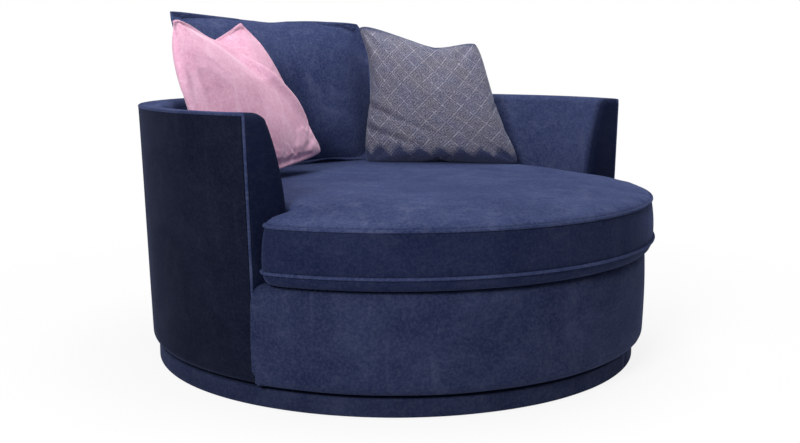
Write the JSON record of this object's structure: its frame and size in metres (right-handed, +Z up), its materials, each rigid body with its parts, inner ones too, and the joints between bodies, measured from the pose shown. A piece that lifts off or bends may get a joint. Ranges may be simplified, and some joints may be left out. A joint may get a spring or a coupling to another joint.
{
  "type": "swivel cuddle chair",
  "caption": "Round swivel cuddle chair: upholstered tub on a covered plinth, deep bow-fronted seat cushion, loose back cushion and scatter pillows.",
  "frame": {"origin": "on the swivel axis at the floor", "axes": "+Z up, front of the seat towards -Y, right arm seen from the front towards +X"},
  "size_m": [1.3325, 1.3475, 0.8949],
  "materials": {
    "navy_velvet": "short-pile velvet",
    "navy_welt": "self-covered piping",
    "pink_velvet": "short-pile velvet",
    "grey_jacquard": "woven diamond lattice with a sheen",
    "dark_cloth": "spun-bonded cloth",
    "felt_liner": "needled fibre",
    "cream_foam": "open-cell foam",
    "white_fibre": "loose fibre in a case",
    "beech": "sawn",
    "plywood": "sanded board",
    "zinc_steel": "zinc plated",
    "spring_steel": "oiled wire",
    "cage_plastic": "moulded",
    "glide_plastic": "moulded",
    "zip_tape": "woven tape"
  },
  "bodies": {
    "plinth": {"plinth_floor_ring": "plywood", "floor_glides": "glide_plastic", "plinth_blocks": "beech", "plinth_top_board": "plywood", "plinth_screws": "zinc_steel", "plinth_hoop": "plywood", "plinth_cover": "navy_velvet", "swivel_lower_ring": "zinc_steel", "swivel_lower_screws": "zinc_steel"},
    "ball_race": {"swivel_ball_cage": "cage_plastic", "swivel_balls": "zinc_steel"},
    "tub": {"base_board": "plywood", "swivel_upper_ring": "zinc_steel", "swivel_upper_screws": "zinc_steel", "frame_screws": "zinc_steel", "shell_ribs": "plywood", "arm_posts": "plywood", "top_rail": "plywood", "seat_rail": "plywood", "front_ribs": "plywood", "front_rail": "plywood", "front_board": "plywood", "sinuous_springs": "spring_steel", "spring_clips": "zinc_steel", "deck_pad": "felt_liner", "deck_cloth": "dark_cloth", "front_cover": "navy_velvet", "front_foam": "cream_foam", "outside_cover": "navy_velvet", "outside_liner": "felt_liner", "inside_cover": "navy_velvet", "inside_foam": "cream_foam", "edge_welt": "navy_welt", "dust_cover": "dark_cloth"},
    "seat": {"seat_cover": "navy_velvet", "seat_foam_core": "cream_foam", "seat_top_welt": "navy_welt", "seat_bottom_welt": "navy_welt", "seat_zip": "zip_tape"},
    "back_cushion": {"back_cushion_cover": "navy_velvet", "back_cushion_filling": "white_fibre", "back_cushion_zip": "zip_tape"},
    "pink_pillow": {"pink_pillow_cover": "pink_velvet", "pink_pillow_filling": "white_fibre", "pink_pillow_zip": "zip_tape"},
    "grey_pillow": {"grey_pillow_cover": "grey_jacquard", "grey_pillow_filling": "white_fibre", "grey_pillow_zip": "zip_tape"}
  },
  "joints": [
    {"name": "swivel", "type": "hinge", "parent": "plinth", "child": "tub", "pos_m": [0, 0, 0.05], "axis": [0, 0, 1], "continuous": true},
    {"name": "ball_orbit", "type": "hinge", "parent": "plinth", "child": "ball_race", "pos_m": [0, 0, 0.05], "axis": [0, 0, 1], "continuous": true},
    {"name": "seat_lift", "type": "slide", "parent": "tub", "child": "seat", "axis": [0, 0, 1], "range_m": [0, 0.4]},
    {"name": "back_lift", "type": "slide", "parent": "seat", "child": "back_cushion", "axis": [0, 0, 1], "range_m": [0, 0.25]},
    {"name": "pink_lift", "type": "slide", "parent": "back_cushion", "child": "pink_pillow", "axis": [0, 0, 1], "range_m": [0, 0.25]},
    {"name": "grey_lift", "type": "slide", "parent": "back_cushion", "child": "grey_pillow", "axis": [0, 0, 1], "range_m": [0, 0.25]}
  ],
  "couplings": [
    {"joint": "ball_orbit", "follows": "swivel", "ratio": 0.5}
  ]
}
